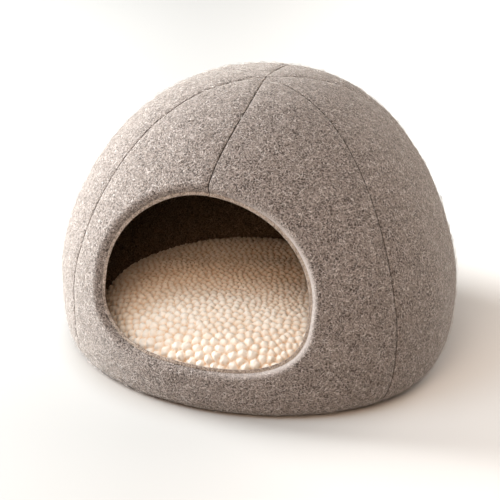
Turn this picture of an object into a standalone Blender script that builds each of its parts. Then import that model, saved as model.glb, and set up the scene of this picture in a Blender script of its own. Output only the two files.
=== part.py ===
"""Felt cat cave with a loose cushion. Metres, +Z up, the entrance faces -Y, and the floor is z = 0.

Thick felt panels are sewn edge to edge into an egg-shaped dome that leans back a little. The front panel goes
all round an arched entrance, whose outer edge is rounded over, and a seam closes it above the arch. Four plain
gores make the sides and back. At the bottom the felt turns under and meets a flat floor panel, and a crowned
cushion lies on that panel.
"""
import math

import bmesh
import bpy
from mathutils import Vector

# Outer face of the dome
HALF_WIDTH = 0.225
FRONT_DEPTH = 0.178        # from the widest line forward
BACK_DEPTH = 0.228         # from the widest line back
HEIGHT = 0.308
WIDEST_LEVEL = 0.086
WIDEST_LINE_Y = -0.02426
CROWN_SETBACK = 0.032      # how far the crown lies behind the widest line
SETBACK_POWER = 1.7        # over 1, the upper part leans back more than the lower
FOOT_ADVANCE = 0.012       # how far the foot outline lies in front of the widest outline
ADVANCE_POWER = 2
FOOT_SHARE = 0.83          # size of the foot outline against the widest outline
CROWN_ROUNDNESS = 2.45
CROWN_STEEPNESS = 1.56
FOOT_ROUNDNESS = 2.8

# Felt and seams
FELT = 0.010
GAP = 0.0003
FLOOR_GAP = 0.00036        # round the floor panel
SEAM_DIP = 0.0012          # how far the outer face is drawn in at a seam
SEAM_SLOPE = 0.003         # width over which it is drawn in
GORES = {                  # name: turn of its two seams in degrees, from the front seam towards +X
    "right_gore": (62, 121),
    "back_right_gore": (121, 180),
    "back_left_gore": (180, 246),
    "left_gore": (246, 312),
}
LEFT_SEAM = math.radians(GORES["left_gore"][1] - 360)
RIGHT_SEAM = math.radians(GORES["right_gore"][0])

# Entrance, as it is seen from the front
ENTRANCE_HALF_WIDTH = 0.1215
ENTRANCE_TOP = 0.228
ENTRANCE_MIDDLE = 0.125
ENTRANCE_SILL = 0.053
ARCH_ROUNDNESS = 1.95
SILL_ROUNDNESS = 3.2
RIM_RADIUS = 0.0075
FAN_SPREAD = 0.009         # keeps the front panel's columns apart where they gather beside its seam

# Cushion
CUSHION_HALF_WIDTH = 0.181
CUSHION_FRONT = -0.186
CUSHION_BACK = 0.144
CUSHION_EDGE_LEVEL = 0.030
CUSHION_CROWN = 0.084
CUSHION_SIDE_ROUNDNESS = 2.3
CUSHION_FLATNESS = 1.15    # over 1, the underside is flat before its middle
CUSHION_REST = FELT + GAP
HOLLOWS = (                # soft hollows pressed into the crown: middle, half lengths, turn and depth
    {"x": 0.030, "y": 0.052, "long": 0.110, "short": 0.022, "turn": 14, "depth": 0.0045},
    {"x": 0.075, "y": 0.000, "long": 0.080, "short": 0.018, "turn": 20, "depth": 0.0035},
    {"x": -0.095, "y": 0.020, "long": 0.070, "short": 0.024, "turn": -12, "depth": 0.0030},
    {"x": -0.020, "y": -0.060, "long": 0.090, "short": 0.026, "turn": 6, "depth": 0.0025},
)

# Steps of the facets
CROWN_STEPS = 12
FOOT_STEPS = 8
GORE_STEPS = 8
FRONT_FOOT_STEPS = 7       # on each side of the middle
FRONT_CROWN_STEPS = 6      # the same, for the front panel's columns that end at the crown
ENTRANCE_STEPS = 7
RIM_STEPS = 3
CUSHION_TURNS = 48
CUSHION_LEVELS = 20

CROWN_TIP = 0.0008         # rows are counted in run: 0 at the crown, 1 at the widest level, 2 at the foot
FOOT = 2.0
PROBE = 0.001              # step of run or turn over which the outer face's slope is taken
ROWS = ([CROWN_TIP, 0.03]
        + [step / CROWN_STEPS for step in range(1, CROWN_STEPS + 1)]
        + [1 + step / FOOT_STEPS for step in range(1, FOOT_STEPS + 1)])


def clear_scene():
    for item in list(bpy.data.objects):
        bpy.data.objects.remove(item, do_unlink=True)


def finish(name, colour, roughness):
    material = bpy.data.materials.new(name)
    material.use_nodes = True
    shader = material.node_tree.nodes["Principled BSDF"]
    shader.inputs["Base Color"].default_value = (*colour, 1)
    shader.inputs["Roughness"].default_value = roughness
    shader.inputs["Metallic"].default_value = 0
    return material


def blend(start, end, share):
    return start + (end - start) * share


def profile(run):
    """Radius share and level of the outer face at a run."""
    bend = (run if run <= 1 else run - 1) * math.pi / 2
    across, up = math.sin(bend), max(math.cos(bend), 0)
    if run <= 1:
        share = across ** (2 / CROWN_ROUNDNESS)
        return share, blend(WIDEST_LEVEL, HEIGHT, up ** (2 / CROWN_STEEPNESS))
    share = blend(FOOT_SHARE, 1, up ** (2 / FOOT_ROUNDNESS))
    return share, WIDEST_LEVEL * (1 - across ** (2 / FOOT_ROUNDNESS))


def run_at(level):
    """Run at which the outer face has a level."""
    if level >= WIDEST_LEVEL:
        rise = (level - WIDEST_LEVEL) / (HEIGHT - WIDEST_LEVEL)
        return math.acos(rise ** (CROWN_STEEPNESS / 2)) / (math.pi / 2)
    drop = 1 - level / WIDEST_LEVEL
    return 1 + math.asin(drop ** (FOOT_ROUNDNESS / 2)) / (math.pi / 2)


def outer_point(turn, run):
    """Point of the outer face; turn is in radians from the front, towards +X."""
    share, level = profile(run)
    rise = max(level / WIDEST_LEVEL - 1, 0) / (HEIGHT / WIDEST_LEVEL - 1)
    drop = max(1 - level / WIDEST_LEVEL, 0)
    middle = WIDEST_LINE_Y + CROWN_SETBACK * rise ** SETBACK_POWER - FOOT_ADVANCE * drop ** ADVANCE_POWER
    depth = FRONT_DEPTH if math.cos(turn) > 0 else BACK_DEPTH
    return Vector((HALF_WIDTH * share * math.sin(turn), middle - depth * share * math.cos(turn), level))


def wall_point(turn, run, depth):
    """Point at a depth under the outer face, square to it."""
    step = min(PROBE, run / 2)
    down = outer_point(turn, min(run + step, FOOT)) - outer_point(turn, run - step)
    around = outer_point(turn + PROBE, run) - outer_point(turn - PROBE, run)
    return outer_point(turn, run) + around.cross(down).normalized() * depth


def gore_turns(start, end, run, steps=GORE_STEPS):
    """Turns of a gore's columns at a run: its two edges, the top of each seam slope, and even steps."""
    radius = HALF_WIDTH * profile(run)[0]
    side = math.copysign(1, end - start)
    half_gap = side * GAP / 2 / radius
    slope = side * min(SEAM_SLOPE / radius, abs(end - start) / (steps + 2))
    first, last = start + half_gap, end - half_gap
    middle = [blend(first + slope, last - slope, step / steps) for step in range(steps + 1)]
    return [first, *middle, last]


def felt_slab(name, columns, rows, place, material):
    """Closed felt panel: a grid extruded once, whose corners are set by place(column, row, is_inner).

    Quads are split along their shorter diagonal, so the twisted walls of two panels match at a seam.
    """
    mesh = bmesh.new()
    bmesh.ops.create_grid(mesh, x_segments=columns, y_segments=rows, size=0.5)
    inner = bmesh.ops.extrude_face_region(mesh, geom=mesh.faces[:])["geom"]
    inner = {item for item in inner if isinstance(item, bmesh.types.BMVert)}
    for corner in mesh.verts:
        column = round((corner.co.x + 0.5) * columns)
        row = round((corner.co.y + 0.5) * rows)
        corner.co = place(column, row, corner in inner)
    bmesh.ops.triangulate(mesh, faces=mesh.faces, quad_method="SHORT_EDGE")
    return solid(name, mesh, material)


def solid(name, mesh, material):
    """Object of a closed mesh, with its faces turned out."""
    if mesh.calc_volume(signed=True) < 0:
        bmesh.ops.reverse_faces(mesh, faces=mesh.faces)
    data = bpy.data.meshes.new(name)
    mesh.to_mesh(data)
    mesh.free()
    data.shade_smooth()
    data.set_sharp_from_angle(angle=math.radians(40))
    data.materials.append(material)
    item = bpy.data.objects.new(name, data)
    bpy.context.collection.objects.link(item)
    return item


def plain_gore(name, start, end, material):
    """Gore from crown to foot between two seams, drawn in along both of them."""
    columns = GORE_STEPS + 2

    def place(column, row, is_inner):
        run = ROWS[row]
        turn = gore_turns(start, end, run)[column]
        dip = SEAM_DIP if column in (0, columns) else 0
        return wall_point(turn, run, FELT if is_inner else dip)

    return felt_slab(name, columns, len(ROWS) - 1, place, material)


def entrance_point(towards):
    """Turn and run of the entrance's edge, in a direction from its middle; 0 is down and pi is up."""
    down = math.cos(towards) > 0
    power = 2 / (SILL_ROUNDNESS if down else ARCH_ROUNDNESS)
    reach = ENTRANCE_MIDDLE - ENTRANCE_SILL if down else ENTRANCE_TOP - ENTRANCE_MIDDLE
    slant = abs(math.tan(towards)) * reach / ENTRANCE_HALF_WIDTH
    angle = math.atan(slant ** (1 / power))
    x = ENTRANCE_HALF_WIDTH * math.sin(angle) ** power
    level = ENTRANCE_MIDDLE + (-reach if down else reach) * math.cos(angle) ** power
    run = run_at(level)
    return math.asin(x / (HALF_WIDTH * profile(run)[0])), run


def side_ends(seam):
    """Outer ends of the front panel's columns on one side, from the middle of the foot to the crown."""
    foot_corner = gore_turns(0, seam, FOOT)[-1]
    ends = [(foot_corner * step / FRONT_FOOT_STEPS, FOOT) for step in range(FRONT_FOOT_STEPS + 1)]
    ends += [(gore_turns(0, seam, run)[-1], run) for run in reversed(ROWS[1:-1])]
    crown_turns = gore_turns(0, seam, CROWN_TIP, FRONT_CROWN_STEPS)
    return ends + [(turn, CROWN_TIP) for turn in reversed(crown_turns)]


def front_panel(material):
    """Panel round the entrance, sewn to itself above it: columns fan out to the foot and the side seams."""
    outer_ends = side_ends(LEFT_SEAM)[::-1] + side_ends(RIGHT_SEAM)[1:]
    columns, rows = len(outer_ends) - 1, RIM_STEPS + ENTRANCE_STEPS + 1
    crown_columns = FRONT_CROWN_STEPS + 2

    def from_front_seam(column):
        return min(column, columns - column)

    def inner_end(column):
        turn, run = outer_ends[column]
        place_in_fan = from_front_seam(column)
        if place_in_fan < 2:
            top_run = run_at(ENTRANCE_TOP)
            return gore_turns(0, math.copysign(RIGHT_SEAM, turn), top_run)[place_in_fan], top_run
        x, _, level = outer_point(turn, run)
        if place_in_fan <= crown_columns:
            top_side_x = outer_point(LEFT_SEAM if turn < 0 else RIGHT_SEAM, ROWS[1]).x
            x = top_side_x * place_in_fan / (crown_columns + 1)
        spread_x = abs(x) + FAN_SPREAD * level / HEIGHT
        edge_turn, edge_run = entrance_point(math.atan2(spread_x, ENTRANCE_MIDDLE - level))
        return math.copysign(edge_turn, x), edge_run

    def place(column, row, is_inner):
        inner, outer = inner_end(column), outer_ends[column]
        length = (outer_point(*inner) - outer_point(*outer)).length
        arc = min(row / RIM_STEPS, 1) * math.pi / 2
        rim_share = RIM_RADIUS / length
        if row <= RIM_STEPS:
            share = rim_share * (1 - math.cos(arc))
        elif row < rows:
            share = blend(rim_share, 1 - SEAM_SLOPE / length, (row - RIM_STEPS) / ENTRANCE_STEPS)
        else:
            share = 1
        turn, run = blend(inner[0], outer[0], share), blend(inner[1], outer[1], share)
        if from_front_seam(column) < 2:
            seam = LEFT_SEAM if column < 2 else RIGHT_SEAM
            turn = gore_turns(0, seam, run)[from_front_seam(column)]
        seam_ends = [gore_turns(0, seam, outer[1])[-1] for seam in (LEFT_SEAM, RIGHT_SEAM)]
        on_seam = from_front_seam(column) == 0 or (row == rows and outer[0] in seam_ends)
        dip = max(SEAM_DIP if on_seam else 0, RIM_RADIUS * (1 - math.sin(arc)))
        return wall_point(turn, run, FELT if is_inner else dip)

    return felt_slab("front_panel", columns, rows, place, material)


def floor_panel(material):
    """Flat felt floor inside the foot edges of the gores."""
    mesh = bmesh.new()
    front = side_ends(LEFT_SEAM)[FRONT_FOOT_STEPS:0:-1] + side_ends(RIGHT_SEAM)[:FRONT_FOOT_STEPS + 1]
    turns = [turn for turn, _ in front]
    for start, end in GORES.values():
        turns += gore_turns(math.radians(start), math.radians(end), FOOT)
    for turn in turns:
        edge = outer_point(turn, FOOT)
        inward = Vector((-edge.x, WIDEST_LINE_Y - FOOT_ADVANCE - edge.y, 0)).normalized()
        mesh.verts.new(edge + inward * FLOOR_GAP)
    face = mesh.faces.new(mesh.verts)
    lift = bmesh.ops.extrude_face_region(mesh, geom=[face])["geom"]
    for corner in lift:
        if isinstance(corner, bmesh.types.BMVert):
            corner.co.z += FELT
    return solid("floor_panel", mesh, material)


def hollow_depth(x, y):
    """How far the soft hollows lower the cushion's crown at a place."""
    depth = 0
    for hollow in HOLLOWS:
        turn = math.radians(hollow["turn"])
        dx, dy = x - hollow["x"], y - hollow["y"]
        along = (dx * math.cos(turn) + dy * math.sin(turn)) / hollow["long"]
        across = (dy * math.cos(turn) - dx * math.sin(turn)) / hollow["short"]
        depth += hollow["depth"] * math.exp(-along ** 2 - across ** 2)
    return depth


def cushion(material):
    """Filled cushion: a ball drawn out to an oval with a crown, a full edge and a flat underside."""
    mesh = bmesh.new()
    bmesh.ops.create_uvsphere(mesh, u_segments=CUSHION_TURNS, v_segments=CUSHION_LEVELS, radius=1)
    half_depth = (CUSHION_BACK - CUSHION_FRONT) / 2
    middle_y = (CUSHION_BACK + CUSHION_FRONT) / 2
    for corner in mesh.verts:
        up = max(-1, min(1, corner.co.z))
        out = math.sqrt(1 - up * up)
        heading = corner.co.xy.normalized() if out > 0.001 else corner.co.xy
        share = out ** (2 / CUSHION_SIDE_ROUNDNESS)
        x = CUSHION_HALF_WIDTH * share * heading.x
        y = middle_y + half_depth * share * heading.y
        if up >= 0:
            level = blend(CUSHION_EDGE_LEVEL, CUSHION_CROWN, up) - hollow_depth(x, y) * up
        else:
            level = blend(CUSHION_EDGE_LEVEL, CUSHION_REST, min(1, CUSHION_FLATNESS * math.sqrt(-up)))
        corner.co = (x, y, level)
    return solid("cushion", mesh, material)


clear_scene()
felt = finish("felt", (0.35, 0.32, 0.30), 0.95)
fleece = finish("fleece", (0.85, 0.74, 0.60), 0.95)
for gore_name, (seam_from, seam_to) in GORES.items():
    plain_gore(gore_name, math.radians(seam_from), math.radians(seam_to), felt)
front_panel(felt)
floor_panel(felt)
cushion(fleece)
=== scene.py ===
import math

import bmesh
import bpy
import numpy as np
from mathutils import Matrix, Vector, noise
from mathutils.kdtree import KDTree


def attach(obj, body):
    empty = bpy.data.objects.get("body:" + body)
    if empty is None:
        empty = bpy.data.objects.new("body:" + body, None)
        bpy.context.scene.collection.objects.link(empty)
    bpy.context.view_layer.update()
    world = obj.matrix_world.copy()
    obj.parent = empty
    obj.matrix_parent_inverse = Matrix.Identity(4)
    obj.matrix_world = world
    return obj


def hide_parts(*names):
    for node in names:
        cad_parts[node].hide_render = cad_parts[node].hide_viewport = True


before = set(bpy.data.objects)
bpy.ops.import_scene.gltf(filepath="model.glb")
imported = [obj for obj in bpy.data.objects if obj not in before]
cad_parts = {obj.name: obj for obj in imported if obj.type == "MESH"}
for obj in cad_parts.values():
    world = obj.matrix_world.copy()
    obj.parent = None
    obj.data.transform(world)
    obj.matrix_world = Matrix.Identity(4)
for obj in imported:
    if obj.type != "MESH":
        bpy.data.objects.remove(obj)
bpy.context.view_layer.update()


# Front panel. One piece of wool felt about 10 mm thick goes all round the entrance, under it and over it, and is
# closed above the arch by a seam of its own. Its rim is cut clean, then pressed over, so the outer corner is
# full and round and only a slim strip of the cut face is left on the inside.

HALF_WIDTH, FRONT_DEPTH, BACK_DEPTH, HEIGHT = 0.225, 0.178, 0.228, 0.308
WIDEST_LEVEL, WIDEST_LINE_Y = 0.086, -0.02426
CROWN_SETBACK, SETBACK_POWER = 0.032, 1.7
FOOT_ADVANCE, ADVANCE_POWER, FOOT_SHARE = 0.012, 2, 0.83
CROWN_ROUNDNESS, CROWN_STEEPNESS, FOOT_ROUNDNESS = 2.45, 1.56, 2.8
FELT = 0.010
CROWN_TIP, FOOT = 0.0001, 2.0
# where the five seams that reach the foot run down, in degrees from the front; the first comes again, once round
SEAM_HEADINGS = (-48, 62, 121, 180, 246, 312)
LEFT_SEAM, RIGHT_SEAM = math.radians(SEAM_HEADINGS[0]), math.radians(SEAM_HEADINGS[1])


def blend(start, end, share):
    return start + (end - start) * share


def profile(run):
    """Radius share and level of the dome's outer face; run is 0 at the crown, 1 where it is widest, 2 at the foot."""
    bend = (run if run <= 1 else run - 1) * math.pi / 2
    across, up = math.sin(bend), max(math.cos(bend), 0)
    if run <= 1:
        share = across ** (2 / CROWN_ROUNDNESS)
        return share, blend(WIDEST_LEVEL, HEIGHT, up ** (2 / CROWN_STEEPNESS))
    share = blend(FOOT_SHARE, 1, up ** (2 / FOOT_ROUNDNESS))
    return share, WIDEST_LEVEL * (1 - across ** (2 / FOOT_ROUNDNESS))


def radius_at(run):
    return HALF_WIDTH * profile(run)[0]


def run_at(level):
    if level >= WIDEST_LEVEL:
        rise = (level - WIDEST_LEVEL) / (HEIGHT - WIDEST_LEVEL)
        return math.acos(rise ** (CROWN_STEEPNESS / 2)) / (math.pi / 2)
    drop = 1 - level / WIDEST_LEVEL
    return 1 + math.asin(drop ** (FOOT_ROUNDNESS / 2)) / (math.pi / 2)


def outer_point(turn, run):
    """Point of the dome's outer face; turn is in radians from the front, towards +X."""
    share, level = profile(run)
    rise = max(level / WIDEST_LEVEL - 1, 0) / (HEIGHT / WIDEST_LEVEL - 1)
    drop = max(1 - level / WIDEST_LEVEL, 0)
    middle = WIDEST_LINE_Y + CROWN_SETBACK * rise ** SETBACK_POWER - FOOT_ADVANCE * drop ** ADVANCE_POWER
    depth = FRONT_DEPTH if math.cos(turn) > 0 else BACK_DEPTH
    return Vector((HALF_WIDTH * share * math.sin(turn), middle - depth * share * math.cos(turn), level))


# height of the swells in the pressed felt, and how close together they come
SWELLS = ((0.0006, 34), (0.00025, 120))
NUDGE = 0.001


def wall_point(turn, run, depth):
    """Point at a depth under the outer face; pressed felt is never quite even, so the face rises and sinks a little."""
    step = min(NUDGE, run / 2)
    down = outer_point(turn, min(run + step, FOOT)) - outer_point(turn, run - step)
    around = outer_point(turn + NUDGE, run) - outer_point(turn - NUDGE, run)
    face = outer_point(turn, run)
    swell = sum(height * noise.noise(face * closeness) for height, closeness in SWELLS)
    point = face + around.cross(down).normalized() * (depth - swell)
    point.z = max(point.z, 0)
    return point


ROW_SPACING, MEASURED_STEPS, CROWN_CROWDING = 0.0032, 800, 1.3


def even_runs(spacing):
    """Runs from the crown to the foot, the same distance apart along the side of the dome."""
    shares = [(step / MEASURED_STEPS) ** CROWN_CROWDING for step in range(MEASURED_STEPS + 1)]
    runs = [blend(CROWN_TIP, FOOT, share) for share in shares]
    points = [outer_point(math.pi / 2, run) for run in runs]
    lengths = np.cumsum([0] + [(b - a).length for a, b in zip(points, points[1:])])
    return np.interp(np.linspace(0, lengths[-1], round(lengths[-1] / spacing) + 1), lengths, runs).tolist()


# Distances from a seam's middle at which the felt has a row of its own. The first is half of the narrow gap that
# is left open between two panels.
SEAM_ROWS = (0.0003, 0.0006, 0.0009, 0.0014, 0.0021, 0.0031, 0.0046)
SEAM_COLUMNS = len(SEAM_ROWS)
SEAM_ROLL, SEAM_GAP_DEPTH = 0.0018, 0.0022
SEAM_DRAW, SEAM_DRAW_WIDTH = 0.0008, 0.005
NARROW_PANEL = 6 * SEAM_ROWS[-1]
TINY = 0.00001
RUNS = even_runs(ROW_SPACING)


def seam_dip(distance):
    """The felt rolls over into a seam, whose gap goes deeper, and the thread draws a wider strip in a little."""
    roll = max(SEAM_ROLL - distance, 0)
    gap = SEAM_GAP_DEPTH if distance < SEAM_ROWS[1] - TINY else 0
    drawn_in = SEAM_DRAW * math.exp(-(distance / SEAM_DRAW_WIDTH) ** 2)
    return gap + SEAM_ROLL - math.sqrt(SEAM_ROLL ** 2 - roll ** 2) + drawn_in


def crowding(width):
    """Share to which the rows beside a seam shrink where a panel of this width grows narrow, at the crown."""
    return min(1, width / NARROW_PANEL)


def panel_turns(start, end, run, steps):
    """Turns of a panel's columns at a run, crowded beside its two seams."""
    radius = radius_at(run)
    crowd = crowding(abs(end - start) * radius)
    beside = [math.copysign(distance * crowd / radius, end - start) for distance in SEAM_ROWS]
    first, last = start + beside[-1], end - beside[-1]
    middle = [blend(first, last, step / steps) for step in range(1, steps)]
    return [start + turn for turn in beside] + middle + [end - turn for turn in reversed(beside)], crowd


OUTSIDE, INSIDE, CUT_EDGE, IN_SEAM = range(4)
# how far right of the middle the rim starts to be painted pale, a painted highlight where the main light catches its
# roll, and the width over which that grows
HIGHLIGHT_FROM, HIGHLIGHT_WIDTH = 0.01, 0.08
HALF_GRID = 0.5


def felt_panel(name, columns, rows, place, finish_of, highlight_rows=()):
    """Closed panel: a grid, extruded once for its thickness. place(column, row, is_inner) sets each corner."""
    mesh = bmesh.new()
    painted_rim_highlight = mesh.verts.layers.float.new("painted_rim_highlight")
    bmesh.ops.create_grid(mesh, x_segments=columns, y_segments=rows, size=HALF_GRID)
    inner = bmesh.ops.extrude_face_region(mesh, geom=mesh.faces[:])["geom"]
    inner_corners = {item for item in inner if isinstance(item, bmesh.types.BMVert)}
    inner_faces = {item for item in inner if isinstance(item, bmesh.types.BMFace)}
    for face in mesh.faces:
        across, up, _ = face.calc_center_median() + Vector((HALF_GRID, HALF_GRID, 0))
        column, row = min(int(across * columns), columns - 1), min(int(up * rows), rows - 1)
        face.material_index = INSIDE if face in inner_faces else finish_of(column, row)
    for corner in mesh.verts:
        column = round((corner.co.x + HALF_GRID) * columns)
        row = round((corner.co.y + HALF_GRID) * rows)
        corner.co = place(column, row, corner in inner_corners)
        # rim rows get a painted highlight, which grows to the right of the middle
        if row < len(highlight_rows):
            corner[painted_rim_highlight] = highlight_rows[row] * min(max((corner.co.x - HIGHLIGHT_FROM) / HIGHLIGHT_WIDTH, 0), 1)
    return piece(name, mesh, (felt, inner_felt, cut_felt, seam_shade_felt))


def piece(name, mesh, materials):
    if mesh.calc_volume(signed=True) < 0:
        bmesh.ops.reverse_faces(mesh, faces=mesh.faces)
    data = bpy.data.meshes.new(name)
    mesh.to_mesh(data)
    mesh.free()
    for material in materials:
        data.materials.append(material)
    data.shade_smooth()
    made = bpy.data.objects.new(name, data)
    bpy.context.collection.objects.link(made)
    return made


class Wire:
    """A socket in a material. Arithmetic on it adds Math nodes, and node() adds any other kind of node."""

    def __init__(self, tree, socket=None):
        self.tree = tree
        self.socket = socket

    def node(self, kind, settings, sockets, output=0):
        node = self.tree.nodes.new("ShaderNode" + kind)
        for name, value in settings.items():
            setattr(node, name, value)
        for key, value in sockets.items():
            if isinstance(value, Wire):
                value.feed(node.inputs[key])
            else:
                node.inputs[key].default_value = value
        return Wire(self.tree, node.outputs[output])

    def feed(self, socket):
        self.tree.links.new(self.socket, socket)

    def maths(self, operation, *values):
        return self.node("Math", {"operation": operation}, dict(enumerate(values)))

    def __add__(self, other):
        return self.maths("ADD", self, other)

    def __sub__(self, other):
        return self.maths("SUBTRACT", self, other)

    def __rsub__(self, other):
        return self.maths("SUBTRACT", other, self)

    def __mul__(self, other):
        return self.maths("MULTIPLY", self, other)

    def __abs__(self):
        return self.maths("ABSOLUTE", self)

    __radd__ = __add__
    __rmul__ = __mul__

    def between(self, low, high):
        """0 below low, 1 above high, and smooth between them."""
        return self.node("MapRange", {"interpolation_type": "SMOOTHSTEP"}, {0: self, 1: low, 2: high})

    def mix(self, first, second):
        """Colour between two others, with this socket as the share of the second."""
        return self.node("Mix", {"data_type": "RGBA"}, {0: self, 6: first, 7: second}, 2)


def new_finish(name, settings):
    """Material with a Principled shader, whose plain sockets take settings; returns it and its shader's tree."""
    material = bpy.data.materials.new(name)
    material.use_nodes = True
    shader = material.node_tree.nodes["Principled BSDF"]
    for socket, value in settings.items():
        shader.inputs[socket].default_value = value
    return material, Wire(material.node_tree), shader


def wool(name, dark, middle, light, hair, sheen):
    """Melange wool felt: dark and light fibres pressed together, with stray pale hairs curling over them."""
    material, tree, shader = new_finish(name, {
        "Roughness": 0.95, "Specular IOR Level": 0.12, "Sheen Weight": sheen, "Sheen Roughness": 0.55,
        "Sheen Tint": (0.95, 0.90, 0.84, 1)})
    place = tree.node("TexCoord", {}, {}, "Object")
    stray = tree.node("TexNoise", {}, {"Vector": place, "Scale": 140, "Detail": 1.5}, "Color")
    bent = tree.node("VectorMath", {"operation": "MULTIPLY_ADD"}, {0: stray, 1: (0.004, 0.004, 0.004), 2: place})
    tone = tree.node("TexNoise", {}, {"Vector": bent, "Scale": 560, "Detail": 2, "Roughness": 0.6})
    cloud = tree.node("TexNoise", {}, {"Vector": place, "Scale": 80, "Detail": 2})

    # a hair runs where a noise passes its middle value, and ends where a second noise breaks it off
    line = tree.node("TexNoise", {}, {"Vector": bent, "Scale": 270, "Detail": 0.5})
    moved = tree.node("VectorMath", {"operation": "ADD"}, {0: bent, 1: (0.37, 0.11, 0.53)})
    second_line = tree.node("TexNoise", {}, {"Vector": moved, "Scale": 340, "Detail": 0.5})
    broken = tree.node("TexNoise", {}, {"Vector": place, "Scale": 330, "Detail": 0})
    hairs = (1 - abs(line - 0.5).between(0.008, 0.035)) * broken.between(0.40, 0.55)
    more_hairs = (1 - abs(second_line - 0.5).between(0.006, 0.028)) * (1 - broken.between(0.45, 0.60))
    all_hairs = hairs.maths("MAXIMUM", hairs, more_hairs)

    speck = tone.between(0.41, 0.59)
    base = speck.mix((*dark, 1), (*middle, 1))
    base = (cloud.between(0.30, 0.75) * 0.25).mix(base, (*light, 1))
    # painted highlight: the rim's attribute mixes the felt towards its pale hair colour where the main light catches
    # the rim
    base = tree.node("Attribute", {"attribute_name": "painted_rim_highlight"}, {}, "Fac").mix(base, (*hair, 1))
    (all_hairs * 0.8).mix(base, (*hair, 1)).feed(shader.inputs["Base Color"])
    height = speck * 0.5 + all_hairs * 0.7
    bump = tree.node("Bump", {}, {"Strength": 0.55, "Distance": 0.0006, "Height": height})
    bump.feed(shader.inputs["Normal"])
    return material


felt = wool("grey_taupe_felt", dark=(0.038, 0.028, 0.024), middle=(0.240, 0.200, 0.180),
            light=(0.33, 0.285, 0.26), hair=(0.57, 0.515, 0.49), sheen=0.3)
# painted shade: the inside faces are the same felt coloured browner, for the warm shade inside the cave
inner_felt = wool("inner_felt", dark=(0.07, 0.047, 0.030), middle=(0.25, 0.175, 0.115),
                  light=(0.30, 0.21, 0.14), hair=(0.48, 0.36, 0.26), sheen=0.0)
cut_felt = wool("cut_edge_felt", dark=(0.12, 0.088, 0.070), middle=(0.33, 0.265, 0.22),
                light=(0.40, 0.33, 0.28), hair=(0.58, 0.50, 0.43), sheen=0.2)
# painted shade: the walls down in the seams' narrow gaps get a near-black copy of the felt, for the shade deep in the
# gap
seam_shade_felt = wool("seam_gap_felt", dark=(0.020, 0.015, 0.012), middle=(0.080, 0.064, 0.055),
                 light=(0.10, 0.082, 0.073), hair=(0.18, 0.15, 0.135), sheen=0.0)

ENTRANCE_HALF_WIDTH, ENTRANCE_TOP, ENTRANCE_MIDDLE, ENTRANCE_SILL = 0.1215, 0.228, 0.125, 0.053
ARCH_ROUNDNESS, SILL_ROUNDNESS = 1.95, 3.2
ARCH_RUN = run_at(ENTRANCE_TOP)
# how far aside a column that ends at the crown starts on the arch, which leaves room there for the seam's columns
FAN_SPREAD = 0.0075
CROWN_COLUMNS, FOOT_COLUMNS, BODY_ROWS = 22, 56, 44
# rim rows, from the inner corner out: distance from the entrance's edge, and depth under the outer face
RIM_ROWS = (
    (0.0006, 0.0099), (0.0001, 0.0097), (0.0000, 0.0093), (0.0005, 0.0088), (0.0013, 0.0084), (0.0021, 0.0080),
    (0.0029, 0.0077), (0.0034, 0.0079), (0.0037, 0.0074), (0.0040, 0.0064), (0.0044, 0.0052), (0.0050, 0.0040),
    (0.0057, 0.0029), (0.0066, 0.0019), (0.0077, 0.0011), (0.0089, 0.0005), (0.0103, 0.0001), (0.0118, 0.0000),
)
CUT_ROWS = 7
# how far the felt of each rim row is painted pale: a painted highlight on the right of the rim, where the low main
# light from the left catches it
RIM_HIGHLIGHT_SHARES = (0, 0, 0, 0, 0, 0.2, 0.3, 0.45, 0.5, 0.55, 0.55, 0.5, 0.4, 0.25, 0.1, 0, 0, 0)


def entrance_point(towards):
    """Turn and run of the entrance's edge, in a direction from its middle; 0 is down and pi is up."""
    down = math.cos(towards) > 0
    power = 2 / (SILL_ROUNDNESS if down else ARCH_ROUNDNESS)
    reach = ENTRANCE_MIDDLE - ENTRANCE_SILL if down else ENTRANCE_TOP - ENTRANCE_MIDDLE
    slant = abs(math.tan(towards)) * reach / ENTRANCE_HALF_WIDTH
    angle = math.atan(slant ** (1 / power))
    x = ENTRANCE_HALF_WIDTH * math.sin(angle) ** power
    run = run_at(ENTRANCE_MIDDLE + (-reach if down else reach) * math.cos(angle) ** power)
    return math.asin(x / radius_at(run)), run


def seam_turns(seam, run, steps=2):
    """Turns of the columns from the middle of the front to one of its side seams."""
    return panel_turns(0, seam, run, steps)[0]


def side_ends(seam):
    """Outer ends of the panel's columns on one side: along the foot, up the side seam, and round the crown."""
    corner = seam_turns(seam, FOOT)[-1]
    ends = [(corner * step / FOOT_COLUMNS, FOOT) for step in range(FOOT_COLUMNS + 1)]
    ends += [(seam_turns(seam, run)[-1], run) for run in reversed(RUNS[1:-1])]
    return ends + [(turn, CROWN_TIP) for turn in reversed(seam_turns(seam, CROWN_TIP, CROWN_COLUMNS))]


outer_ends = side_ends(LEFT_SEAM)[::-1] + side_ends(RIGHT_SEAM)[1:]
front_columns = len(outer_ends) - 1
front_rows = len(RIM_ROWS) + BODY_ROWS + SEAM_COLUMNS
FAN_COLUMNS = 2 * SEAM_COLUMNS + CROWN_COLUMNS - 2


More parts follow.
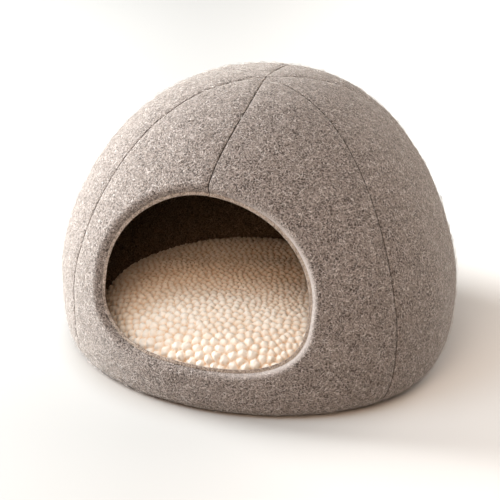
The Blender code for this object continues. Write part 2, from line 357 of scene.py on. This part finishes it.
def inner_end(column):
    """Turn and run at which a column of the panel starts, on the edge of the entrance."""
    turn, run = outer_ends[column]
    place_in_fan = min(column, front_columns - column)
    if place_in_fan < SEAM_COLUMNS:
        return seam_turns(math.copysign(RIGHT_SEAM, turn), ARCH_RUN)[place_in_fan], ARCH_RUN
    x, _, level = outer_point(turn, run)
    if place_in_fan <= FAN_COLUMNS:
        top_side_x = outer_point(LEFT_SEAM if turn < 0 else RIGHT_SEAM, RUNS[1]).x
        x = top_side_x * (place_in_fan - SEAM_COLUMNS) / (FAN_COLUMNS + 1 - SEAM_COLUMNS)
    spread_x = abs(x) + FAN_SPREAD * level / HEIGHT
    edge_turn, edge_run = entrance_point(math.atan2(spread_x, ENTRANCE_MIDDLE - level))
    return math.copysign(edge_turn, turn), edge_run


inner_ends = [inner_end(column) for column in range(front_columns + 1)]
# a first short share of a column, and limits for columns that meet the rim or a seam at a slant
PROBE, LEAST_SLANT = 0.01, 0.35
LEAST_ASIDE, SEAM_SHARE = 0.3, 0.3


def column_shares(column):
    """How far along its column each row of the front panel lies, from the entrance to the foot or seam."""
    inner, outer = inner_ends[column], outer_ends[column]
    start, end = outer_point(*inner), outer_point(*outer)
    before, after = inner_ends[max(column - 1, 0)], inner_ends[min(column + 1, front_columns)]
    along_rim = (outer_point(*after) - outer_point(*before)).normalized()
    near = outer_point(blend(inner[0], outer[0], PROBE), blend(inner[1], outer[1], PROBE)) - start
    slant = max((near.normalized().cross(along_rim)).length, LEAST_SLANT)
    rim = [distance * PROBE / (near.length * slant) for distance, _ in RIM_ROWS]
    aside = max(radius_at(outer[1]) * abs(outer[0] - inner[0]), (end - start).length * LEAST_ASIDE)
    seam = [1 - min(distance / aside, SEAM_SHARE * (step + 1) / SEAM_COLUMNS)
            for step, distance in enumerate(SEAM_ROWS)]
    body = [blend(rim[-1], seam[-1], (step + 1) / (BODY_ROWS + 1)) for step in range(BODY_ROWS)]
    shares = rim + body + seam[::-1]
    return shares + [1.0] * (front_rows + 1 - len(shares))


shares_of = [column_shares(column) for column in range(front_columns + 1)]
SEAM_SWAY, SWAY_REACH = 0.0055, 0.6
SWAY_HALF_WAVES, SWAY_FADE = 1.5, 4


def swayed(turn, run):
    """The seam over the arch is sewn a little crooked, and the felt beside it goes along."""
    share = run / ARCH_RUN
    sway = math.sin(SWAY_HALF_WAVES * math.pi * share) if share < 1 else -max(1 - SWAY_FADE * (share - 1), 0)
    near = max(1 - abs(turn) / SWAY_REACH, 0) ** 2
    return turn + SEAM_SWAY * sway * near / radius_at(run)


# how far under the arch its seam still counts, how much the rim follows a seam's dip, and how deep it goes at most
BELOW_ARCH, RIM_DIP, DEEPEST_RIM = 0.02, 1.5, 0.0098


def place_front(column, row, is_inner):
    """Place of a corner of the front panel, whose columns run from the entrance out to the seams and the foot."""
    inner, outer = inner_ends[column], outer_ends[column]
    share = shares_of[column][row]
    if is_inner and row < len(RIM_ROWS):
        share = max(share, shares_of[column][0]) + TINY * row
    turn, run = blend(inner[0], outer[0], share), blend(inner[1], outer[1], share)
    side_seam = LEFT_SEAM if turn < 0 or column < SEAM_COLUMNS else RIGHT_SEAM
    place_in_fan = min(column, front_columns - column)
    if place_in_fan < SEAM_COLUMNS:
        turn = seam_turns(side_seam, run)[place_in_fan]
    if is_inner:
        return wall_point(swayed(turn, run), run, FELT)
    radius = radius_at(run)
    from_seams = [abs(side_seam - turn) * radius]
    if run < ARCH_RUN + BELOW_ARCH:
        from_seams.append(abs(turn) * radius)
    depth = seam_dip(max(min(from_seams), SEAM_ROWS[0])) * crowding(abs(side_seam) * radius)
    if row < len(RIM_ROWS):
        depth = min(RIM_ROWS[row][1] + RIM_DIP * depth, DEEPEST_RIM)
    return wall_point(swayed(turn, run), run, depth)


def front_finish(column, row):
    if row < CUT_ROWS:
        return CUT_EDGE
    return IN_SEAM if column in (0, front_columns - 1) or row == front_rows - 1 else OUTSIDE


front_panel = felt_panel("front_panel_felt", front_columns, front_rows, place_front, front_finish, RIM_HIGHLIGHT_SHARES)
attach(front_panel, "root")
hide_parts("front_panel")


# Gores. Four plain pieces of the same felt, wide in the middle and pointed at the crown, make the sides and the
# back. They are sewn edge to edge from the inside, so outside there is only a fine groove where the felt rolls in.

GORES = (
    ("right_gore", (0.212, 0.458), 0.0681),
    ("back_right_gore", (0.233, 0.446), 0.0738),
    ("back_left_gore", (0.260, 0.446), 0.0826),
    ("left_gore", (0.232, 0.459), 0.0744),
)
GORE_COLUMNS = 64


def plain_gore(name, start, end):
    """Panel between two seams, whose headings are given in degrees."""
    columns = GORE_COLUMNS + 2 * SEAM_COLUMNS - 2
    turns_of = [panel_turns(math.radians(start), math.radians(end), run, GORE_COLUMNS) for run in RUNS]

    def place(column, row, is_inner):
        turns, crowd = turns_of[row]
        nearer = min(turns[column] - turns[0], turns[-1] - turns[column])
        distance = nearer * radius_at(RUNS[row]) + SEAM_ROWS[0]
        return wall_point(turns[column], RUNS[row], FELT if is_inner else seam_dip(distance) * crowd)

    def finish(column, row):
        return IN_SEAM if column in (0, columns - 1) else OUTSIDE

    return felt_panel(name + "_felt", columns, len(RUNS) - 1, place, finish)


gores = []
for (name, flat, area), start, end in zip(GORES, SEAM_HEADINGS[1:], SEAM_HEADINGS[2:]):
    gore = plain_gore(name, start, end)
    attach(gore, "root")
    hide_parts(name)
    gores.append(gore)


# Stray fibres. Wool felt is never bald: single pale fibres have worked loose and curl a few millimetres along the
# outside of the panels, or stand up a little at their ends.

FIBRE_COUNTS = (4200, 2200, 2300, 2600, 2300)
FIBRE_LENGTHS, FIBRE_RADII, FIBRE_LIFTS = (0.0035, 0.0095), (0.00009, 0.00017), (0.0001, 0.0005)
FIBRE_BEND, FIBRE_WAVE, WAVE_ANGLE, HEADING_SHARE, TIP_LIFT = 1.3, 0.5, 5, 0.6, 1.6
FIBRE_SCATTER, LOWEST_FIBRE = 0.003, 0.0003
FIBRE_SIDES, FIBRE_RINGS = 3, 4
# fibres lie only where the felt faces away from the cave's middle, and so not down in the seams
CAVE_MIDDLE, FACING_OUT = Vector((0, -0.01, 0.07)), 0.7


def fibre_faces():
    """Faces of one thread: a tip, rings of corners with sides between them, and the other tip."""
    tip = 1 + FIBRE_SIDES * FIBRE_RINGS
    faces = [(0, 1 + side, 1 + (side + 1) % FIBRE_SIDES) for side in range(FIBRE_SIDES)]
    for ring in range(FIBRE_RINGS - 1):
        first = 1 + FIBRE_SIDES * ring
        second = first + FIBRE_SIDES
        for side in range(FIBRE_SIDES):
            other = (side + 1) % FIBRE_SIDES
            faces.append((first + side, second + side, second + other, first + other))
    last = tip - FIBRE_SIDES
    return faces + [(tip, last + (side + 1) % FIBRE_SIDES, last + side) for side in range(FIBRE_SIDES)]


def stray_fibres(panel, count, seed):
    """Threads scattered over a panel's outer face and lying along it."""
    chance = np.random.default_rng(seed)
    faces = [face for face in panel.data.polygons if face.material_index == OUTSIDE
             and face.normal.dot((face.center - CAVE_MIDDLE).normalized()) > FACING_OUT]
    areas = np.cumsum([face.area for face in faces])
    picked = [faces[index] for index in np.searchsorted(areas, chance.random(count) * areas[-1])]
    up = np.array([face.normal[:] for face in picked])
    start = np.array([face.center[:] for face in picked]) + (chance.random((count, 3)) - 0.5) * FIBRE_SCATTER
    ahead = np.cross(up, chance.normal(size=(count, 3)))
    ahead /= np.linalg.norm(ahead, axis=1)[:, None]
    aside = np.cross(up, ahead)
    length = chance.uniform(*FIBRE_LENGTHS, count)
    bend = chance.normal(0, FIBRE_BEND, count)
    wave = chance.normal(0, FIBRE_WAVE, count)
    lift = chance.uniform(*FIBRE_LIFTS, count)
    centres = []
    for share in np.linspace(0, 1, FIBRE_RINGS + 2):
        heading = bend * share + wave * math.sin(share * WAVE_ANGLE)
        along = length * share * np.cos(heading * HEADING_SHARE)
        across = length * share * np.sin(heading * HEADING_SHARE)
        rise = lift * (1 + TIP_LIFT * share ** 3)
        centre = start + ahead * along[:, None] + aside * across[:, None] + up * rise[:, None]
        centre[:, 2] = centre[:, 2].clip(LOWEST_FIBRE)
        centres.append(centre)
    radius = chance.uniform(*FIBRE_RADII, count)[:, None]
    rings = [centres[0]]
    for centre in centres[1:-1]:
        for side in range(FIBRE_SIDES):
            angle = side * 2 * math.pi / FIBRE_SIDES
            rings.append(centre + (aside * math.cos(angle) + up * math.sin(angle)) * radius)
    rings.append(centres[-1])
    points = np.stack(rings, 1).reshape(-1, 3)
    thread = fibre_faces()
    threads = [tuple(corner + len(rings) * number for corner in face) for number in range(count) for face in thread]
    data = bpy.data.meshes.new(panel.name.replace("felt", "fibres"))
    data.from_pydata(points.tolist(), [], threads)
    data.shade_smooth()
    data.materials.append(fibre)
    made = bpy.data.objects.new(data.name, data)
    bpy.context.collection.objects.link(made)
    return made


fibre, fibre_tree, fibre_shader = new_finish("pale_wool_fibre", {
    "Roughness": 0.8, "Specular IOR Level": 0.2, "Sheen Weight": 0.2})
fibre_tone = fibre_tree.node("TexNoise", {}, {"Vector": fibre_tree.node("TexCoord", {}, {}, "Object"), "Scale": 150})
fibre_colour = fibre_tone.between(0.35, 0.65).mix((0.50, 0.44, 0.40, 1), (0.80, 0.75, 0.71, 1))
fibre_colour.feed(fibre_shader.inputs["Base Color"])
for seed, (panel, count) in enumerate(zip([front_panel, *gores], FIBRE_COUNTS)):
    fibres = stray_fibres(panel, count, seed)
    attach(fibres, "root")


# Floor panel. A flat oval of the same felt closes the bottom, its edge meeting the turned-under feet of the dome.

FOOT_STEPS, FOOT_CLEARANCE = 24, 0.0005
EDGE_INSET, WIDER_INSETS = 0.0010, (0.012, 0.03, 0.05)
SHARP_EDGE = math.radians(40)

foot_line = [math.radians(blend(start, end, step / FOOT_STEPS))
             for start, end in zip(SEAM_HEADINGS, SEAM_HEADINGS[1:]) for step in range(FOOT_STEPS)]
floor_mesh = bmesh.new()
for turn in foot_line:
    edge = outer_point(turn, FOOT)
    inward = Vector((-edge.x, WIDEST_LINE_Y - FOOT_ADVANCE - edge.y, 0)).normalized()
    floor_mesh.verts.new(edge + inward * FOOT_CLEARANCE)
underside = floor_mesh.faces.new(floor_mesh.verts)
lifted = bmesh.ops.extrude_face_region(floor_mesh, geom=[underside])["geom"]
top_face = [item for item in lifted if isinstance(item, bmesh.types.BMFace)]
bmesh.ops.translate(floor_mesh, vec=(0, 0, FELT), verts=top_face[0].verts)
for inset in (EDGE_INSET, *WIDER_INSETS):
    bmesh.ops.inset_region(floor_mesh, faces=top_face, thickness=inset, depth=0)
bmesh.ops.inset_region(floor_mesh, faces=[underside], thickness=EDGE_INSET, depth=0)
floor_panel = piece("floor_panel_felt", floor_mesh, (felt,))
floor_panel.data.set_sharp_from_angle(angle=SHARP_EDGE)
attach(floor_panel, "root")
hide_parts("floor_panel")


# Cushion. A loose, full oval cushion in curly fleece: its filling crowns it, a cat has pressed soft hollows into
# it, and the pile stands in round curls, roughened by smaller knots, and bigger and taller along the front edge.

CUSHION_HALF_WIDTH, CUSHION_FRONT, CUSHION_BACK = 0.181, -0.186, 0.144
CUSHION_EDGE_LEVEL, CUSHION_CROWN, CUSHION_REST = 0.030, 0.084, 0.0103
CUSHION_SIDE_ROUNDNESS, CUSHION_FULLNESS, CUSHION_FLATNESS = 2.5, 0.85, 1.15
HOLLOWS = (
    {"x": 0.030, "y": 0.052, "long": 0.110, "short": 0.022, "turn": 14, "depth": 0.0045},
    {"x": 0.075, "y": 0.000, "long": 0.080, "short": 0.018, "turn": 20, "depth": 0.0035},
    {"x": -0.095, "y": 0.020, "long": 0.070, "short": 0.024, "turn": -12, "depth": 0.0030},
    {"x": -0.020, "y": -0.060, "long": 0.090, "short": 0.026, "turn": 6, "depth": 0.0025},
)
# the pile's height, how far apart its curls stand on the top, at the back and in front, and its smaller knots
PILE, FRONT_PILE, CURL_SHARE = 0.0072, 1.2, 0.80
TOP_CURLS, BACK_CURLS, FRONT_CURLS, KNOT_SIZE = 0.0054, 0.0058, 0.0077, 0.5
FRONT_FROM, FRONT_BAND, BACK_FROM, BACK_BAND = 0.06, 0.10, -0.02, 0.14
LUMP_SIZES, SHORTEST_LUMP, CREVICE_SOFTNESS = (0.78, 1.22), 0.70, 0.10
EVENING_ROUNDS, NEAREST_LUMPS = 2, 5
# the share of the cover's run that carries pile, how fast the pile fades there, and where the underside closes
PILE_END, PILE_FADE, UNDERSIDE_END = 0.80, 25, 0.97
COVER_CELLS, UNDERSIDE_ROWS, SIDE_STEPS = 440, 8, 2000


def hollow_depth(x, y):
    depth = 0 * x
    for hollow in HOLLOWS:
        turn = math.radians(hollow["turn"])
        dx, dy = x - hollow["x"], y - hollow["y"]
        along = (dx * math.cos(turn) + dy * math.sin(turn)) / hollow["long"]
        across = (dy * math.cos(turn) - dx * math.sin(turn)) / hollow["short"]
        depth += hollow["depth"] * np.exp(-along ** 2 - across ** 2)
    return depth


def cover_level(up):
    bottom = np.minimum(1, CUSHION_FLATNESS * np.sqrt(np.maximum(-up, 0)))
    return np.where(up >= 0, blend(CUSHION_EDGE_LEVEL, CUSHION_CROWN - PILE, up.clip(0) ** CUSHION_FULLNESS),
                    blend(CUSHION_EDGE_LEVEL, CUSHION_REST, bottom))


def cover_points(run, heading):
    """Points of the filled cover without its pile; run is 0 at its crown and 1 at the middle of its underside."""
    ups = np.cos(np.linspace(0, math.pi, SIDE_STEPS + 1))
    widths = CUSHION_HALF_WIDTH * (1 - ups ** 2).clip(0) ** (1 / CUSHION_SIDE_ROUNDNESS)
    lengths = np.cumsum(np.hypot(np.diff(widths, prepend=0), np.diff(cover_level(ups), prepend=cover_level(ups[0]))))
    up = np.interp(run * lengths[-1], lengths, ups)
    share = (1 - up ** 2).clip(0) ** (1 / CUSHION_SIDE_ROUNDNESS)
    x = (CUSHION_HALF_WIDTH - PILE) * share * heading[:, 0]
    y = blend(CUSHION_FRONT + PILE, CUSHION_BACK - PILE, 0.5 + 0.5 * share * heading[:, 1])
    level = cover_level(up) - hollow_depth(x, y) * up.clip(0)
    return np.stack([x, y, level], 1)


def tree_of(points):
    tree = KDTree(len(points))
    for number, point in enumerate(points):
        tree.insert(point, number)
    tree.balance()
    return tree


def lump_middles(points, apart, chance):
    """Middles of lumps of mixed sizes, scattered over the points and then evened out."""
    tree, free, spots = tree_of(points), np.ones(len(points), bool), []
    for corner in chance.permutation(len(points)):
        if free[corner]:
            spots.append(corner)
            free[[near for _, near, _ in tree.find_range(points[corner], apart[corner])]] = False
    middles = points[spots]
    for _ in range(EVENING_ROUNDS):
        tree = tree_of(middles)
        owner = np.array([tree.find(point)[1] for point in points])
        owned = np.maximum(np.bincount(owner, minlength=len(spots)), 1)
        middles = np.stack([np.bincount(owner, axis, len(spots)) / owned for axis in points.T], 1)
    return middles


def lumps(points, apart, chance):
    """Height, from 0 to 1, of a layer of round lumps, crowded so that only soft crevices are left between them."""
    apart = apart * chance.uniform(*LUMP_SIZES, len(points))
    middles = lump_middles(points, apart, chance)
    tree = tree_of(middles)
    nearest = np.array([[(number, distance) for _, number, distance in tree.find_n(point, NEAREST_LUMPS)]
                        for point in points])
    own, others = nearest[:, 0, 1], nearest[:, 1:, 1]
    soft = CREVICE_SOFTNESS * apart
    other = -soft * np.log(np.exp(-others / soft[:, None]).sum(1))
    from_middle = (2 * own / (own + other)).clip(0, 1)
    tall = chance.uniform(SHORTEST_LUMP, 1, len(middles))[nearest[:, 0, 0].astype(int)]
    return tall * np.sqrt(1 - from_middle ** 2)


def pile_heights(points, out):
    """Height of the pile on each point of the cover; out is 0 at the crown and 1 where the pile ends."""
    chance = np.random.default_rng(7)
    front = ((-points[:, 1] - FRONT_FROM) / FRONT_BAND).clip(0, 1)
    back = ((points[:, 1] - BACK_FROM) / BACK_BAND).clip(0, 1)
    apart = blend(blend(TOP_CURLS, BACK_CURLS, back), FRONT_CURLS, front)
    curls, knots = lumps(points, apart, chance), lumps(points, apart * KNOT_SIZE, chance)
    return PILE * blend(knots, curls, CURL_SHARE) * blend(1, FRONT_PILE, front) * ((1 - out) * PILE_FADE).clip(0, 1)


def close_underside(mesh, ring):
    """Rings of faces from the end of the pile down and in under the cushion, and one face over the last."""
    for row in range(1, UNDERSIDE_ROWS + 1):
        ring = [item for item in bmesh.ops.extrude_edge_only(mesh, edges=ring)["geom"]
                if isinstance(item, bmesh.types.BMEdge)]
        corners = list({corner for edge in ring for corner in edge.verts})
        flat = np.array([corner.co[:2] for corner in corners])
        flat[:, 1] -= (CUSHION_FRONT + CUSHION_BACK) / 2
        flat /= (CUSHION_HALF_WIDTH, (CUSHION_BACK - CUSHION_FRONT) / 2)
        heading = flat / np.hypot(*flat.T)[:, None]
        run = np.full(len(corners), blend(PILE_END, UNDERSIDE_END, row / UNDERSIDE_ROWS))
        for corner, point in zip(corners, cover_points(run, heading)):
            corner.co = point
    bmesh.ops.contextual_create(mesh, geom=ring)


def fleece_cushion():
    """The cover as one closed surface: a fine grid rounded to an oval for the pile, and a few rings underneath."""
    mesh = bmesh.new()
    bmesh.ops.create_grid(mesh, x_segments=COVER_CELLS, y_segments=COVER_CELLS, size=1)
    square = np.array([corner.co[:2] for corner in mesh.verts])
    oval = square * np.sqrt(1 - square[:, ::-1] ** 2 / 2)
    out = np.hypot(*oval.T)
    heading = oval / np.maximum(out, 0.0001)[:, None]
    points = cover_points(out * PILE_END, heading)
    for corner, point in zip(mesh.verts, points):
        corner.co = point
    mesh.normal_update()
    pile = pile_heights(points, out)
    ring = [edge for edge in mesh.edges if edge.is_boundary]
    for corner, height in zip(mesh.verts, pile):
        corner.co += corner.normal * height
    close_underside(mesh, ring)
    height_at = mesh.verts.layers.float.new("tuft_tip")
    mesh.verts.ensure_lookup_table()
    for number, height in enumerate(pile):
        mesh.verts[number][height_at] = height / PILE
    return piece("fleece_cushion", mesh, (fleece(),))


def fleece():
    """Ivory curls: pale at their tips, with painted warm tan shade down in the pile, and the fine twist of the yarn in
    their surface.
    """
    material, tree, shader = new_finish("ivory_fleece", {
        "Roughness": 0.9, "Specular IOR Level": 0.15, "Sheen Weight": 0.3, "Sheen Roughness": 0.5,
        "Sheen Tint": (1.0, 0.96, 0.90, 1)})
    place = tree.node("TexCoord", {}, {}, "Object")
    tip = tree.node("Attribute", {"attribute_name": "tuft_tip"}, {}, "Fac")
    twist = tree.node("TexNoise", {}, {"Vector": place, "Scale": 900, "Detail": 2, "Distortion": 1.2})
    patch = tree.node("TexNoise", {}, {"Vector": place, "Scale": 45, "Detail": 2})
    ivory = patch.between(0.3, 0.7).mix((0.87, 0.80, 0.71, 1), (0.90, 0.85, 0.78, 1))
    # painted shade: the lower down in the pile, the more tan the colour, for the warm shade between the curls
    tip.between(0.05, 0.80).mix((0.64, 0.42, 0.25, 1), ivory).feed(shader.inputs["Base Color"])
    bump = tree.node("Bump", {}, {"Strength": 0.35, "Distance": 0.0005, "Height": twist})
    bump.feed(shader.inputs["Normal"])
    return material


cushion = fleece_cushion()
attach(cushion, "root")
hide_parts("cushion")


# Studio. A pale seamless floor with painted light and shade: painted lighter to the right of the picture, where the
# main light's shadow falls, and darkened close to the cave's foot by a painted soft shadow. The main light is large,
# low and from the left. Four weaker ones fill in from the left front, from high in front, warm from the front, and from
# the back right. The camera looks down from a little to the right of the entrance.

FLOOR_WIDTH = 30
# what a metre to the right, and a metre back, count towards the right of the picture
RIGHT_SHARE, BACK_SHARE = 0.92, 0.39
# distances from the cave's middle are counted in the radius of its foot
FOOT_RADII_PER_METRE = 5.3


def pale_floor():
    """Floor with painted light: brighter to the right, in the main light's shadow, and a painted dark brown shadow
    round the cave's foot.
    """
    material, tree, shader = new_finish("pale_floor", {"Roughness": 0.8, "Specular IOR Level": 0.2})
    place = tree.node("TexCoord", {}, {}, "Object")
    x = tree.node("SeparateXYZ", {}, {0: place}, "X")
    y = tree.node("SeparateXYZ", {}, {0: place}, "Y")
    to_right = x * RIGHT_SHARE + y * BACK_SHARE
    from_cave = tree.node("VectorMath", {"operation": "LENGTH"}, {0: place}, "Value") * FOOT_RADII_PER_METRE
    # painted light: the floor is darker to the left, where the main light shines, and lighter to the right, in its
    # shadow
    tone = to_right.between(-0.15, 0.45).mix((0.48, 0.477, 0.470, 1), (0.82, 0.81, 0.80, 1))
    # painted shadow: a soft dark brown ring round the cave's foot, wider on the left and at the front
    painted_shadow_left = (1 - from_cave.between(0.92, 1.30)) * (1 - to_right.between(-0.25, 0.12)) * 0.75
    painted_shadow_at_foot = (1 - from_cave.between(0.96, 1.10)) * 0.5
    colour = painted_shadow_left.maths("MAXIMUM", painted_shadow_left, painted_shadow_at_foot).mix(tone, (0.17, 0.115, 0.082, 1))
    colour.feed(shader.inputs["Base Color"])
    return material


bpy.ops.mesh.primitive_plane_add(size=1)
studio_floor = bpy.context.object
studio_floor.name = "studio_floor"
studio_floor.data.transform(Matrix.Diagonal((FLOOR_WIDTH, FLOOR_WIDTH, 1, 1)))
studio_floor.data.materials.append(pale_floor())

LIT_MIDDLE, LIGHT_DISTANCE = Vector((0, 0, 0.10)), 2.2


def soft_light(name, heading, height, size, power, colour):
    """Round lamp that faces the cave; heading and height are its angles in degrees from the front and the floor."""
    lamp = bpy.data.lights.new(name, "AREA")
    lamp.shape = "DISK"
    lamp.size = size
    lamp.energy = power
    lamp.color = colour
    light = bpy.data.objects.new(name, lamp)
    around, up = math.radians(heading), math.radians(height)
    towards = Vector((math.sin(around) * math.cos(up), -math.cos(around) * math.cos(up), math.sin(up)))
    light.location = LIT_MIDDLE + towards * LIGHT_DISTANCE
    light.rotation_euler = towards.to_track_quat("Z", "Y").to_euler()
    bpy.context.collection.objects.link(light)


soft_light("key_light", heading=-91, height=17, size=1.2, power=148, colour=(0.98, 1.0, 0.995))
soft_light("left_front_light", heading=-45, height=50, size=1.2, power=23, colour=(0.75, 0.89, 1.0))
soft_light("front_light", heading=0, height=62, size=1.2, power=12.5, colour=(0.92, 1.0, 1.0))
soft_light("warm_light", heading=10, height=39, size=1.6, power=24, colour=(1.0, 0.67, 0.45))
soft_light("back_light", heading=146, height=28, size=2.0, power=36, colour=(1.0, 0.92, 0.85))
world = bpy.data.worlds.new("studio")
world.use_nodes = True
world.node_tree.nodes["Background"].inputs["Color"].default_value = (0.12, 0.112, 0.103, 1)
bpy.context.scene.world = world
bpy.context.scene.view_settings.view_transform = "Standard"

CAMERA_PLACE, FROM_CAVE_TO_CAMERA = (0.7760, -1.8625, 1.0401), Vector((0.35532, -0.83446, 0.42122))

camera_data = bpy.data.cameras.new("camera")
camera_data.lens = 141.8
camera_data.shift_x = 0.0015
camera_data.sensor_width = 36
camera = bpy.data.objects.new("camera", camera_data)
camera.location = CAMERA_PLACE
camera.rotation_euler = FROM_CAVE_TO_CAMERA.to_track_quat("Z", "Y").to_euler()
bpy.context.collection.objects.link(camera)
bpy.context.scene.camera = camera
